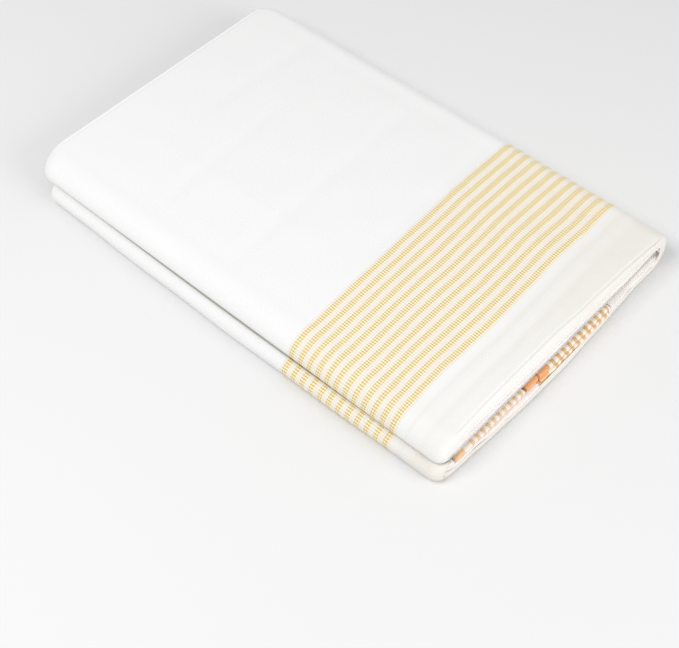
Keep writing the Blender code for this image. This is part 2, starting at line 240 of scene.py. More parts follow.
def near_shift(x, z, turn, near):
    """How far a point lies back from the near end's plane because of the end's own shape."""
    height = min(max((z - Z_MIDDLE) / (PACK_HEIGHT - Z_MIDDLE), 0.0), 1.0)
    crest = between_places(x, NEAR_PLACES, CREST_BACK) / MILLIMETRES
    upper = mix(LIP_BACK, crest, height**SHOULDER)
    lower = -between_places(x, NEAR_PLACES, LOWER_BULGE) / MILLIMETRES
    return mix(upper, lower, turn) * smooth(1 - near / NEAR_FADE)


# Soft marks that folding and pressing left: the start and the end of each, its width and its depth
PRESS_MARKS = (
    {"start": (-0.092, -0.1570), "end": (0.100, -0.1575), "width": 0.0018, "depth": 0.00022},
    {"start": (-0.080, -0.1330), "end": (0.098, -0.1270), "width": 0.0040, "depth": 0.00035},
    {"start": (-0.088, -0.1430), "end": (0.060, -0.1400), "width": 0.0030, "depth": 0.00028},
    {"start": (-0.020, -0.0400), "end": (0.092, -0.0370), "width": 0.0050, "depth": 0.00030},
    {"start": (-0.070, 0.0150), "end": (0.080, 0.0210), "width": 0.0060, "depth": 0.00035},
    {"start": (-0.075, 0.0780), "end": (0.030, 0.0840), "width": 0.0050, "depth": 0.00025},
    {"start": (0.000, 0.1180), "end": (0.094, 0.1130), "width": 0.0060, "depth": 0.00030},
    {"start": (0.088, -0.1400), "end": (0.0905, 0.1300), "width": 0.0045, "depth": 0.00030},
    {"start": (-0.079, -0.1450), "end": (-0.080, 0.1400), "width": 0.0050, "depth": 0.00025},
    {"start": (0.052, -0.1500), "end": (0.047, -0.0300), "width": 0.0060, "depth": -0.00030},
    {"start": (-0.034, -0.0200), "end": (-0.041, 0.1400), "width": 0.0080, "depth": -0.00030},
)
MARK_FADE = 0.15


def mark_depth(x, y):
    """Depth of all press marks at a point of the top face."""
    depth = 0.0
    for mark in PRESS_MARKS:
        (x0, y0), (x1, y1) = mark["start"], mark["end"]
        run = (x1 - x0) ** 2 + (y1 - y0) ** 2
        along = ((x - x0) * (x1 - x0) + (y - y0) * (y1 - y0)) / run
        across = abs((x - x0) * (y1 - y0) - (y - y0) * (x1 - x0)) / sqrt(run)
        starts = smooth((along + MARK_FADE) / (2 * MARK_FADE))
        ends = smooth((1 + MARK_FADE - along) / (2 * MARK_FADE))
        depth += mark["depth"] * starts * ends * exp(-(across / mark["width"]) ** 2)
    return depth


FIRST_STRIPE_Y = -0.04868
STRIPE_PITCH = 0.00670
STRIPE_COUNT = 12
STRIPE_SKEW = {"first": 0.0399, "last": 0.0204}
# How far the first, the middle and the last stripes swing from a straight line, in millimetres
SWING_PLACES = (
    -0.108, -0.088, -0.072, -0.058, -0.038, -0.018, 0.000, 0.020, 0.045, 0.060, 0.075, 0.088, 0.104,
)
STRIPE_SWINGS = (
    (-0.4, -0.6, -0.7, -0.3, 0.1, 0.2, 0.6, 0.4, 0.7, 0.4, -0.1, -0.6, -1.2),
    (-0.3, -0.4, -0.5, -0.1, 0.4, 0.3, -0.3, 0.1, 0.8, 0.6, 0.1, -0.5, -1.3),
    (-1.0, -0.7, 0.3, 0.7, 0.0, -0.7, -0.4, 0.1, 0.9, 0.5, -0.5, 0.1, -0.6),
)


def stripe_coordinate(x, y):
    """0 at the far edge of the first stripe's pitch, growing by 1 with each pitch towards the near end."""
    last_stripe = STRIPE_COUNT - 1
    first = FIRST_STRIPE_Y + STRIPE_SKEW["first"] * x
    last = FIRST_STRIPE_Y - STRIPE_PITCH * last_stripe + STRIPE_SKEW["last"] * x
    straight = last_stripe * (first - y) / (first - last)
    swings = [between_places(x, SWING_PLACES, row) for row in STRIPE_SWINGS]
    share = min(max(straight / last_stripe, 0.0), 1.0) * 2
    if share < 1:
        swing = mix(swings[0], swings[1], smooth(share))
    else:
        swing = mix(swings[1], swings[2], smooth(share - 1))
    return 0.5 + straight + swing / (MILLIMETRES * STRIPE_PITCH)


# Heights of the soft waves in the cloth. The waves' own numbers, where they are used, are radians a metre
WAVE_HEIGHTS = {"top face": 0.00014, "upper left fold": 0.00020, "lower left fold": 0.00018}
LAST_FOLD_HEIGHTS = {"scallop": 0.00032, "swell": 0.00030, "tremble": 0.00012}
CREST_GROOVE = {"distance": 0.0027, "width": 0.0006, "depth": 0.00030}
RIPPLE_STARTS = 0.125
HALF_PITCH = 0.5


def pucker(station, x, y, from_end):
    """How far the cloth stands out or in at a point, across its own face."""
    kind, value = station
    if kind == "upper outer flat":
        ripple = WAVE_HEIGHTS["top face"] * sin(x * 120 + 2 * sin(y * 30)) * sin(y * 85 + 1.3)
        from_groove = (from_end - CREST_GROOVE["distance"]) / CREST_GROOVE["width"]
        groove = CREST_GROOVE["depth"] * exp(-(from_groove**2))
        return ripple * smooth(value / RIPPLE_STARTS) - mark_depth(x, y) - groove
    if kind == "upper nose outer":
        return WAVE_HEIGHTS["upper left fold"] * sin(y * 95 + 0.5) * sin(y * 31) * sin(pi * value)
    if kind == "outer arc":
        band = stripe_coordinate(X_RIGHT, y)
        inside = smooth(band / HALF_PITCH) * smooth((STRIPE_COUNT - band) / HALF_PITCH)
        scallop = -LAST_FOLD_HEIGHTS["scallop"] * cos(2 * pi * band) * inside
        swell = LAST_FOLD_HEIGHTS["swell"] * sin(y * 60 + 0.7) * sin(y * 23)
        tremble = LAST_FOLD_HEIGHTS["tremble"] * sin(y * 190)
        return (scallop + swell + tremble) * sin(pi * (value + 90) / 180)
    if kind == "lower nose outer":
        return WAVE_HEIGHTS["lower left fold"] * sin(y * 80 + 2.2) * (1 - value)
    return 0.0


UPPER_FLANGE = 0.0042
FOLD_FLANGE = 0.0046
LOWER_FLANGE = 0.0040
UPPER_FLANGE_FADE = 0.0500
LOWER_FLANGE_FADE = 0.0300
LIP_RISE = {"place": -0.002, "reach": 0.020, "height": 0.0008}
UPPER_LEAN = -0.0004
LOWER_LEAN = 0.0008
BULGE_LEAN = {"share": 0.4, "above": 0.0024}
FOLD_WRINKLES = {"depth": 0.00055, "turns": 7.0}
FLANGE_WAVES = ((0.04, 110, 0), (0.03, 240, 1))
LIP_ROOM = {"arc": 0.0012, "flat": 0.0018, "nose": 0.0026}
MOST_INSET = {"arc": 0.90, "flat": 0.80, "nose": 0.66}
SLIT_SETBACK = {"depth": 0.0005, "over": 1 / 12}
CROTCH_SETBACK = {"depth": 0.0014, "from": 0.8, "over": 0.125}
SETBACK_REACH = 0.0130


def waves(x, table):
    """The sum of soft waves, each given by its height, its radians a metre and its start."""
    return sum(height * sin(x * turns + start) for height, turns, start in table)


def flange_depth(turn, x):
    """How far the ends are turned in, in the upper half, round the last fold and in the lower half."""
    from_fold = X_RIGHT - LAST_FOLD_REACH - x
    if turn < 0.5:
        return mix(FOLD_FLANGE, UPPER_FLANGE, smooth(from_fold / UPPER_FLANGE_FADE))
    below_border = LIP_RISE["height"] * exp(-((x - LIP_RISE["place"]) / LIP_RISE["reach"]) ** 2)
    return mix(FOLD_FLANGE, LOWER_FLANGE, smooth(from_fold / LOWER_FLANGE_FADE)) + below_border


def slit_setback(station):
    """How far the leaf's faces in the slit stand back from the ends."""
    kind, value = station
    if kind.endswith("inner flat"):
        slit = SLIT_SETBACK["depth"] * smooth(value / SLIT_SETBACK["over"])
        nears_crotch = smooth((value - CROTCH_SETBACK["from"]) / CROTCH_SETBACK["over"])
        return mix(slit, CROTCH_SETBACK["depth"], nears_crotch)
    return CROTCH_SETBACK["depth"] if kind == "inner arc" else 0.0


def turned_end(station, row, point, near, far):
    """The point (x, near, z) of an end's crest or flange, turned in from this point (x, z) of the section."""
    kind, value = station
    end, _, roll, flange = row
    x, z = point
    turn = half_turn(station)
    across = Vector(section_point(opposite(station), near, far)) - Vector(point)
    part = kind.split()[-1] if "nose" not in kind else "nose"
    room = max(across.length - LIP_ROOM[part], 0.0)
    depth = flange_depth(turn, x) * (1 + waves(x, FLANGE_WAVES))
    depth = min(depth, MOST_INSET[part] * across.length, room)
    rolled = min(CREST_RADIUS, depth)
    if part == "arc":
        wrinkle = sin(radians(value) * FOLD_WRINKLES["turns"] + 0.6) * sin(pi * (value + 90) / 180)
        near += FOLD_WRINKLES["depth"] * wrinkle * sin(pi * flange)
    bulge = between_places(x, NEAR_PLACES, LOWER_BULGE) / MILLIMETRES if end == "near" else 0.0
    lower_lean = LOWER_LEAN + BULGE_LEAN["share"] * max(bulge - BULGE_LEAN["above"], 0.0)
    near += mix(UPPER_LEAN, lower_lean, turn) * flange**2 * (1 if end == "near" else -1)
    move = across.normalized() * (rolled * roll + (depth - rolled) * flange)
    return x + move.x, near, z + move.y


def leaf_point(station, row, lengths):
    """A point of the leaf's outer face, in metres."""
    end, value, roll, _ = row
    turn = half_turn(station)
    length = mix(*lengths, turn)
    if end == "middle":
        near = mix(LAST_END_ROW, length - LAST_END_ROW, value)
    else:
        setback = slit_setback(station) * (1 - max(value, 0.0) / SETBACK_REACH)
        near = value + setback if end == "near" else length - value - setback
    x, z = section_point(station, near, length - near)
    if roll > 0 and "outer" in station[0]:
        x, near, z = turned_end(station, row, (x, z), near, length - near)
    shift = near_shift(x, z, turn, near)
    if "inner" in station[0]:
        into_slit = station[1] if "nose" in station[0] else 1.0
        shift = mix(shift, near_shift(x, Z_MIDDLE, 0.0, near), into_slit)
    return Vector((x, Y_NEAR + near + shift, z))


def grid_normals(grid):
    """Unit normals of a grid of points, rows by stations, pointing out of the slab."""
    normals = np.cross(np.gradient(grid, axis=1), np.gradient(grid, axis=0))
    return normals / np.maximum(np.linalg.norm(normals, axis=2, keepdims=True), 1e-12)


def add_mesh(name, points, faces):
    """A smooth mesh object with its faces pointing out."""
    mesh = bpy.data.meshes.new(name)
    mesh.from_pydata([tuple(point) for point in points], [], faces)
    shape = bmesh.new()
    shape.from_mesh(mesh)
    bmesh.ops.recalc_face_normals(shape, faces=shape.faces)
    if shape.calc_volume(signed=True) < 0:
        bmesh.ops.reverse_faces(shape, faces=shape.faces)
    shape.to_mesh(mesh)
    shape.free()
    mesh.shade_smooth()
    mesh.set_sharp_from_angle(angle=radians(60))
    piece = bpy.data.objects.new(name, mesh)
    bpy.context.scene.collection.objects.link(piece)
    return piece


def shell_faces(rows, columns):
    """Quads of a sheet with two faces and a rim: the outer grid's points come first, then the inner's."""
    faces = []
    offset = rows * columns
    for row in range(rows - 1):
        for column in range(columns - 1):
            a = row * columns + column
            b, c, d = a + 1, a + columns + 1, a + columns
            faces.append((a, d, c, b))
            faces.append((a + offset, b + offset, c + offset, d + offset))
    for row in range(rows - 1):
        for column, flip in ((0, True), (columns - 1, False)):
            a = row * columns + column
            quad = (a, a + columns, a + columns + offset, a + offset)
            faces.append(quad[::-1] if flip else quad)
    for column in range(columns - 1):
        for row, flip in ((0, False), (rows - 1, True)):
            a = row * columns + column
            quad = (a, a + 1, a + 1 + offset, a + offset)
            faces.append(quad[::-1] if flip else quad)
    return faces


def lengths_so_far(points):
    """How far each point of a line lies along it, from its first point."""
    steps = np.linalg.norm(np.diff(points, axis=0), axis=1)
    return np.concatenate([[0.0], np.cumsum(steps)])


LEAF_WALL = 0.0008


def make_leaf():
    """The leaf, with its threads' coordinates, and how far round its section its creases and its end lie."""
    stations, rows = leaf_stations(), leaf_rows()
    lengths = (Y_FAR_UP - Y_NEAR, Y_FAR_LOW - Y_NEAR)
    grid = np.array([[leaf_point(station, row, lengths) for station in stations] for row in rows])
    normals = grid_normals(grid)
    for i, (end, distance, roll, _) in enumerate(rows):
        from_end = 1.0 if end == "middle" else distance
        for j, station in enumerate(stations):
            if roll < 0.5:
                grid[i, j] += normals[i, j] * pucker(station, grid[i, j, 0], grid[i, j, 1], from_end)
    grid[:, :, 2] = np.maximum(grid[:, :, 2], 0.0)
    inner = grid - grid_normals(grid) * LEAF_WALL
    points = np.concatenate([grid.reshape(-1, 3), inner.reshape(-1, 3)])
    leaf = add_mesh("outer_leaf_cloth", points, shell_faces(len(rows), len(stations)))
    round_slab = lengths_so_far(grid[len(rows) // 2])
    along_slab = lengths_so_far(grid[:, stations.index(("upper outer flat", 0.5))])
    threads = []
    for i in range(len(rows)):
        for j in range(len(stations)):
            threads.append((round_slab[j], along_slab[i], stripe_coordinate(grid[i, j, 0], grid[i, j, 1])))
    values = np.array(threads + threads, np.float32)
    attribute = leaf.data.attributes.new("threads", "FLOAT_VECTOR", "POINT")
    attribute.data.foreach_set("vector", values.reshape(-1))
    round_places = {
        "widest": float(round_slab[stations.index(("upper nose outer", 0.0))]),
        "deepest": float(round_slab[stations.index(("lower inner flat", 0.0))]),
        "end": float(round_slab[-1]),
    }
    return leaf, round_places


def new_group(name, inputs, outputs):
    """An empty shader node group with these inputs, given with their values, and these outputs."""
    group = bpy.data.node_groups.new(name, "ShaderNodeTree")
    for socket, value in inputs.items():
        made = group.interface.new_socket(socket, in_out="INPUT", socket_type="NodeSocketFloat")
        made.default_value = value
    for socket in outputs:
        group.interface.new_socket(socket, in_out="OUTPUT", socket_type="NodeSocketFloat")
    return group, group.nodes.new("NodeGroupInput"), group.nodes.new("NodeGroupOutput")


def math_node(tree, operation, *values):
    """A Math node whose inputs are numbers or sockets; returns its output."""
    node = tree.nodes.new("ShaderNodeMath")
    node.operation = operation
    for socket, value in zip(node.inputs, values):
        if isinstance(value, (int, float)):
            socket.default_value = value
        else:
            tree.links.new(value, socket)
    return node.outputs[0]


def ramp(tree, value, low, high, out_low=0.0, out_high=1.0, kind="LINEAR"):
    """A clamped ramp of a value."""
    node = tree.nodes.new("ShaderNodeMapRange")
    node.interpolation_type = kind
    for socket, number in zip(node.inputs[1:5], (low, high, out_low, out_high)):
        socket.default_value = number
    tree.links.new(value, node.inputs["Value"])
    return node.outputs["Result"]


def away_from(tree, value, centre):
    """How far a value lies from a centre, on either side."""
    return math_node(tree, "ABSOLUTE", math_node(tree, "SUBTRACT", value, centre))


def split(tree, vector):
    """The three parts of a vector."""
    node = tree.nodes.new("ShaderNodeSeparateXYZ")
    tree.links.new(vector, node.inputs[0])
    return node.outputs


def add_group(tree, group, **given):
    """A node group placed in a material, with these sockets linked to its inputs."""
    node = tree.nodes.new("ShaderNodeGroup")
    node.node_tree = group
    for name, socket in given.items():
        tree.links.new(socket, node.inputs[name])
    return node


WEAVE_PITCHES = {"Round Pitch": 0.00168, "Along Pitch": 0.00148}
ALONG_SHARE = 0.6
CROSSING_SHARE = 0.15


def weave_group():
    """Plain weave of paired threads: a height, and a mask of the threads that lie on top."""
    inputs = {"Round": 0.0, "Along": 0.0, **WEAVE_PITCHES}
    group, given, result = new_group("plain_weave", inputs, ("Height", "Rib"))
    waves = []
    for way in ("Round", "Along"):
        turns = math_node(group, "DIVIDE", given.outputs[way], given.outputs[way + " Pitch"])
        waves.append(math_node(group, "COSINE", math_node(group, "MULTIPLY", turns, 2 * pi)))
    across, along = waves
    both = math_node(group, "MULTIPLY_ADD", along, ALONG_SHARE, across)
    rib = math_node(group, "MULTIPLY_ADD", both, 0.5 / (1 + ALONG_SHARE), 0.5)
    crossing = math_node(group, "MULTIPLY", across, along)
    height = math_node(group, "MULTIPLY_ADD", crossing, CROSSING_SHARE, rib)
    group.links.new(height, result.inputs["Height"])
    group.links.new(rib, result.inputs["Rib"])
    return group


STRIPE_EDGE = {"outside": 0.275, "inside": 0.225}


def stripe_group():
    """Woven stripes: a mask of the gold threads, from a coordinate that counts the pitches."""
    inputs = {"Pitches": 0.0, "Count": float(STRIPE_COUNT)}
    group, given, result = new_group("woven_stripes", inputs, ("Gold", "Band"))
    pitches = given.outputs["Pitches"]
    from_centre = away_from(group, math_node(group, "FRACT", pitches), 0.5)
    stripe = ramp(group, from_centre, STRIPE_EDGE["outside"], STRIPE_EDGE["inside"], kind="SMOOTHSTEP")
    after_first = math_node(group, "GREATER_THAN", pitches, 0.0)
    before_last = math_node(group, "LESS_THAN", pitches, given.outputs["Count"])
    band = math_node(group, "MULTIPLY", after_first, before_last)
    gold = math_node(group, "MULTIPLY", stripe, band)
    group.links.new(gold, result.inputs["Gold"])
    group.links.new(band, result.inputs["Band"])
    return group


def mix_colour(tree, share, first, second, blend="MIX"):
    """Mixes two colours or colour sockets; returns the colour output."""
    node = tree.nodes.new("ShaderNodeMix")
    node.data_type = "RGBA"
    node.blend_type = blend
    for socket, value in ((node.inputs[0], share), (node.inputs[6], first), (node.inputs[7], second)):
        if isinstance(value, (int, float)):
            socket.default_value = value
        elif isinstance(value, tuple):
            socket.default_value = (*value, 1.0)
        else:
            tree.links.new(value, socket)
    return node.outputs[2]


def noise(tree, scale, detail):
    """Noise of this scale, and of this many finer layers."""
    node = tree.nodes.new("ShaderNodeTexNoise")
    node.inputs["Scale"].default_value = scale
    node.inputs["Detail"].default_value = detail
    return node.outputs["Fac"]


def patches(tree, kind, least=0.0, most=1.0):
    """Soft uneven patches of one kind, as a value that runs from least to most."""
    return ramp(tree, noise(tree, kind["scale"], kind["detail"]), kind["low"], kind["high"], least, most)


def cotton_material(name):
    """Matt woven cotton, with a faint sheen of fibre ends."""
    material = bpy.data.materials.new(name)
    material.use_nodes = True
    tree = material.node_tree
    shader = tree.nodes["Principled BSDF"]
    shader.inputs["Roughness"].default_value = 0.88
    shader.inputs["Specular IOR Level"].default_value = 0.25
    shader.inputs["Sheen Weight"].default_value = 0.25
    shader.inputs["Sheen Roughness"].default_value = 0.45
    return material, tree, shader


def add_bump(tree, shader, height, strength, distance):
    """Raises the surface by a height."""
    bump = tree.nodes.new("ShaderNodeBump")
    bump.inputs["Strength"].default_value = strength
    bump.inputs["Distance"].default_value = distance
    tree.links.new(height, bump.inputs["Height"])
    tree.links.new(bump.outputs["Normal"], shader.inputs["Normal"])


WEAVE = weave_group()
STRIPES = stripe_group()
WHITE = (0.838, 0.843, 0.838)
CREAM = (0.785, 0.745, 0.675)
# Painted shade for the folds, multiplied into the leaf's colour
CREASE_PAINTED_SHADE = (0.52, 0.48, 0.43)
THREAD_SHADE = (0.66, 0.65, 0.62)
CREAM_SHADE = (0.64, 0.55, 0.45)
PINK_WHITE = (0.88, 0.77, 0.70)
GREEN_WHITE = (0.85, 0.84, 0.69)
DARK_GOLD = (0.62, 0.47, 0.17)
YELLOW_GOLD = (0.92, 0.89, 0.60)
ORANGE_GOLD = (0.95, 0.78, 0.57)
# Shade painted into the leaf's colour in the folds: where each begins and ends, measured round the slab from
# its crease, and how strong
ABOVE_SLIT = {"begins": 0.0012, "full": -0.0018, "strength": 0.30}
BELOW_SLIT = {"begins": -0.0008, "fades": 0.003, "gone": 0.010, "strength": 0.85}
NEAR_CROTCH = {"begins": 0.040, "full": 0.020, "strength": 0.45}
# Faint cream bands beyond the last stripe, placed in stripe pitches
CREAM_BANDS = (
    {"centre": 13.0, "half_width": 0.35, "strength": 0.35},
    {"centre": 14.6, "half_width": 0.5, "strength": 0.3},
)
# The white is creamier towards the right, by shares of the way round the slab, and towards the near end
RIGHT_TONE = {"begins": 0.30, "full": 0.48, "least": 0.35}
NEAR_TONE = {"begins": STRIPE_COUNT - 2, "full": STRIPE_COUNT + 3}
CREAM_PATCHES = {"scale": 30.0, "detail": 1.5, "low": 0.3, "high": 0.7}
HUE_PATCHES = {"scale": 170.0, "detail": 1.0, "low": 0.40, "high": 0.60}
SLUBS = {"scale": 900.0, "detail": 2.0, "height": 0.5}
TICK = {"low": 0.20, "high": 0.80}
THREADS_SHOW = 0.16
TICKS_BETWEEN = 0.35
BAND_TINT = 0.80
GOLD_HEIGHT = 0.6


def painted_fold_shade(tree, around, places):
    """A mask of painted shade: the colour is darkened in the slit, beside it and at its crotch."""
    widest, deepest, end = places["widest"], places["deepest"], places["end"]
    above = ramp(
        tree, around, widest + ABOVE_SLIT["begins"], widest + ABOVE_SLIT["full"], 0.0, ABOVE_SLIT["strength"]
    )
    below = ramp(tree, around, deepest + BELOW_SLIT["begins"], deepest, 0.0, BELOW_SLIT["strength"])
    fading = ramp(tree, around, deepest + BELOW_SLIT["fades"], deepest + BELOW_SLIT["gone"], 1.0, 0.0)
    below = math_node(tree, "MULTIPLY", below, fading)
    crotch = ramp(
        tree, around, end - NEAR_CROTCH["begins"], end - NEAR_CROTCH["full"], 0.0, NEAR_CROTCH["strength"]
    )
    return math_node(tree, "MAXIMUM", math_node(tree, "MAXIMUM", above, below), crotch)


def leaf_material(places):
    """White cotton with the twelve stripes and two faint cream bands beyond them, and shade painted into its
    folds.
    """
    material, tree, shader = cotton_material("striped_cotton")
    threads = tree.nodes.new("ShaderNodeAttribute")
    threads.attribute_name = "threads"
    around, along, pitches = split(tree, threads.outputs["Vector"])
    weave = add_group(tree, WEAVE, Round=around, Along=along)
    stripes = add_group(tree, STRIPES, Pitches=pitches)
    tone_ends = (places["end"] * RIGHT_TONE["begins"], places["end"] * RIGHT_TONE["full"])
    right_tone = ramp(tree, around, *tone_ends, RIGHT_TONE["least"], 1.0)
    near_tone = ramp(tree, pitches, NEAR_TONE["begins"], NEAR_TONE["full"])
    toned = math_node(tree, "MULTIPLY", near_tone, right_tone)
    toned = math_node(tree, "MULTIPLY", patches(tree, CREAM_PATCHES, least=0.75), toned)
    white = mix_colour(tree, toned, WHITE, CREAM)
    for band in CREAM_BANDS:
        distance = away_from(tree, pitches, band["centre"])
        cream = ramp(tree, distance, band["half_width"], 0.0, 0.0, band["strength"])
        white = mix_colour(tree, cream, white, CREAM)
    threads_show = math_node(tree, "MULTIPLY", right_tone, THREADS_SHOW)
    threads_show = math_node(tree, "MULTIPLY", weave.outputs["Rib"], threads_show)
    white = mix_colour(tree, threads_show, white, THREAD_SHADE)
    hue = patches(tree, HUE_PATCHES)
    tick = ramp(tree, weave.outputs["Rib"], TICK["low"], TICK["high"])
    between = mix_colour(tree, hue, PINK_WHITE, GREEN_WHITE)
    between = mix_colour(tree, math_node(tree, "MULTIPLY", tick, TICKS_BETWEEN), between, CREAM_SHADE)
    tinted = math_node(tree, "MULTIPLY", stripes.outputs["Band"], BAND_TINT)
    white = mix_colour(tree, tinted, white, between)
    gold = mix_colour(tree, hue, ORANGE_GOLD, YELLOW_GOLD)
    gold = mix_colour(tree, tick, gold, DARK_GOLD)
    colour = mix_colour(tree, stripes.outputs["Gold"], white, gold)
    # Painted shade: the colour is darkened in the slit, beside it and at its crotch.
    colour = mix_colour(tree, painted_fold_shade(tree, around, places), colour, CREASE_PAINTED_SHADE, "MULTIPLY")
    tree.links.new(colour, shader.inputs["Base Color"])
    slub = noise(tree, SLUBS["scale"], SLUBS["detail"])
    height = math_node(tree, "MULTIPLY_ADD", slub, SLUBS["height"], weave.outputs["Height"])
    raised = math_node(tree, "MULTIPLY_ADD", stripes.outputs["Gold"], GOLD_HEIGHT, height)
    add_bump(tree, shader, raised, strength=0.5, distance=0.00012)
    return material


leaf, round_places = make_leaf()
leaf.data.materials.append(leaf_material(round_places))
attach(leaf, "root")
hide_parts("outer_leaf")

# The plies inside: all other plies of the same white cotton, which lie between the leaf's faces and bend with
# them round the last fold. Only their edges and folds show, at the two ends, as thin rounded lips that stand
# out unevenly. Nothing joins them: the leaf's turned ends hold them in.
CLOTH_CLEAR = 0.0014
PLY_CORNER_EXTRA = 0.0018
PLY_FOLD_SETBACK = 0.0001
PLY_FOLD_SLACK = 0.0007
BORDER_LEFT_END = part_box("border_fold_left")[0].x
BORDER_RIGHT_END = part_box("border_fold_right")[1].x
UNDER_LEFT_END, UNDER_RIGHT_END = (corner.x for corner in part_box("border_fold_under"))
RECESS_DEPTH = 0.0150
RECESS_CLEAR = 0.0004
SHARE_BEHIND_BORDER = 0.32
SHARE_BEHIND_UNDER = 0.67
EDGE_STEP = 0.0005
EDGE_STEPS = 6
PLY_NOSE_STEPS = 8
PLY_TOP_STEPS = 34
PLY_FOLD_STEPS = 16
PLY_UNDERSIDE_STEPS = 60
PLY_ROWS = (0.0055, 0.0085, 0.0130)


def ply_stations():
    """Stations of the plies' outer face, from the upper left fold round the last fold to the lower left fold.

    They lie closer together at the edges of the border folds' recess.
    """
    nose = [1 - cos(pi / 2 * share) for share in shares(PLY_NOSE_STEPS)]
    arc = np.linspace(90, -90, PLY_FOLD_STEPS + 1)[1:]
    ends = []
    for share in (0, 1):
        x, _ = section_point(("lower outer flat", share), near=0.001, far=1.0, corner_extra=PLY_CORNER_EXTRA)
        ends.append(x)
    close = []
    for edge in (BORDER_LEFT_END, UNDER_LEFT_END, UNDER_RIGHT_END, BORDER_RIGHT_END):
        for step in range(-EDGE_STEPS, EDGE_STEPS + 1):
            close.append((edge + step * EDGE_STEP - ends[0]) / (ends[1] - ends[0]))
    flat = shares(PLY_UNDERSIDE_STEPS)[:-1] + [share for share in close if share > 0]
    stations = [("upper nose outer", share) for share in nose[1:]]
    stations += [("upper outer flat", share) for share in shares(PLY_TOP_STEPS, 1)]
    stations += [("outer arc", angle) for angle in arc]
    stations += [("lower outer flat", share) for share in sorted(flat, reverse=True)]
    stations += [("lower nose outer", share) for share in reversed(nose[1:-1])]
    return stations


def ply_setback(station):
    """How far the plies' ends stand back at the left folds and at the last fold."""
    kind, value = station
    if "nose" in kind:
        return PLY_CORNER_EXTRA * (1 - value)
    if kind == "outer arc":
        return PLY_FOLD_SETBACK
    return PLY_FOLD_SETBACK * smooth((value - 0.9) / 0.1)


def ply_point(station, share, end, distance):
    """A point between the slit's face, share 0, and the outer face, share 1, at this distance from an end."""
    turn = half_turn(station)
    length = mix(Y_FAR_UP - Y_NEAR, Y_FAR_LOW - Y_NEAR, turn)
    near = {"near": distance, "far": length - distance, "middle": length / 2}[end]
    outer = Vector(section_point(station, near, length - near, PLY_CORNER_EXTRA))
    inner = Vector(section_point(opposite(station), near, length - near, PLY_CORNER_EXTRA))
    if "nose" in station[0]:
        middle = Vector(section_point((station[0], 1.0), near, length - near, PLY_CORNER_EXTRA))
        middle.y = Z_MIDDLE * (1.5 if turn < 0.5 else 0.5)
        outer = outer + (middle - outer).normalized() * CLOTH_CLEAR
        inner = inner + (middle - inner).normalized() * CLOTH_CLEAR
    else:
        across = (inner - outer).normalized()
        slack = PLY_FOLD_SLACK if "arc" in station[0] else 0.0
        outer, inner = outer + across * CLOTH_CLEAR, inner - across * (CLOTH_CLEAR + slack)
    point = inner.lerp(outer, share)
    return Vector((point.x, Y_NEAR + near, point.y))


# How far each ply lies back from the ends, from the slit outwards, in millimetres
UPPER_BACKS = (0.3, 0.4, 1.0, 0.9, 0.3, 0.2, 1.1, 0.9, 0.4, 1.2, 2.2, 2.0, 2.6, 2.2, 2.8, 3.0)
LOWER_BACKS = (1.3, 1.2, 0.6, 0.6, 1.5, 1.4, 0.6, 0.7, 0.4, 2.2, 2.2, 2.6, 2.3, 2.7, 2.4, 2.6)
# The thick rounded ply of the lower half: its number, its shares of the way out, and its roundness
LEDGE = {"number": 8, "low": 0.43, "high": 0.66, "round": 0.0016}
LIP_GAP = 0.008
LEDGE_GAP = 3 * LIP_GAP
LIP_ROUND = 0.00035
LIP_PROFILE = (0.0, 0.06, 0.25, 0.5, 0.75, 0.94, 1.0)
LIP_WAVE = {"height": 0.0003, "turns": 90, "more_each": 23, "start_each": 1.9}
LEAST_SETBACK = 0.0004


def lips():
    """Each ply's shares of the way out, in the upper and the lower half, its set-backs and its roundness."""
    made = []
    count = len(UPPER_BACKS)
    before = LEDGE["number"]
    after = count - before - 1
    for number in range(count):
        upper = (number / count, (number + 1) / count - LIP_GAP)
        if number < before:
            low = LEDGE["low"] * number / before
            lower = (low, low + LEDGE["low"] / before - LIP_GAP)
        elif number == before:
            lower = (LEDGE["low"], LEDGE["high"])
        else:
            step = (1 - LEDGE["high"] - LEDGE_GAP) / after
            low = LEDGE["high"] + LEDGE_GAP + step * (number - before - 1)
            lower = (low, low + step - LIP_GAP)
        lower_round = LEDGE["round"] if number == before else LIP_ROUND
        backs = (UPPER_BACKS[number] / MILLIMETRES, LOWER_BACKS[number] / MILLIMETRES)
        made.append({"up": upper, "low": lower, "backs": backs, "rounds": (LIP_ROUND, lower_round)})
    return made


def is_recessed(x, turn, share):
    """Whether a border fold takes this place, at a share of the way out."""
    if turn < 1.0:
        return False
    under = UNDER_LEFT_END - RECESS_CLEAR < x < UNDER_RIGHT_END + RECESS_CLEAR
    beside = BORDER_LEFT_END - RECESS_CLEAR < x < BORDER_RIGHT_END + RECESS_CLEAR
    return (under and share < SHARE_BEHIND_UNDER) or (beside and share < SHARE_BEHIND_BORDER)


def lip_points(station, end):
    """The layered end at one station, from the slit outwards."""
    turn = half_turn(station)
    points = []
    for number, lip in enumerate(lips()):
        low = mix(lip["up"][0], lip["low"][0], turn)
        high = mix(lip["up"][1], lip["low"][1], turn)
        back = mix(*lip["backs"], turn) + ply_setback(station)
        rounding = mix(*lip["rounds"], turn)
        recessed_share = (lip["low"][0] + lip["low"][1]) / 2
        turns = LIP_WAVE["turns"] + LIP_WAVE["more_each"] * number
        for step in LIP_PROFILE:
            share = mix(low, high, step)
            bare = ply_point(station, share, end, back)
            wave = LIP_WAVE["height"] * sin(bare.x * turns + LIP_WAVE["start_each"] * number)
            distance = max(back + wave, LEAST_SETBACK) + rounding * (1 - sqrt(1 - (2 * step - 1) ** 2))
            point = ply_point(station, share, end, distance)
            if end == "near" and is_recessed(point.x, turn, recessed_share):
                point.y = Y_NEAR + RECESS_DEPTH
            elif end == "near":
                point.y += near_shift(point.x, point.z, turn, distance)
            points.append(point)
    return points


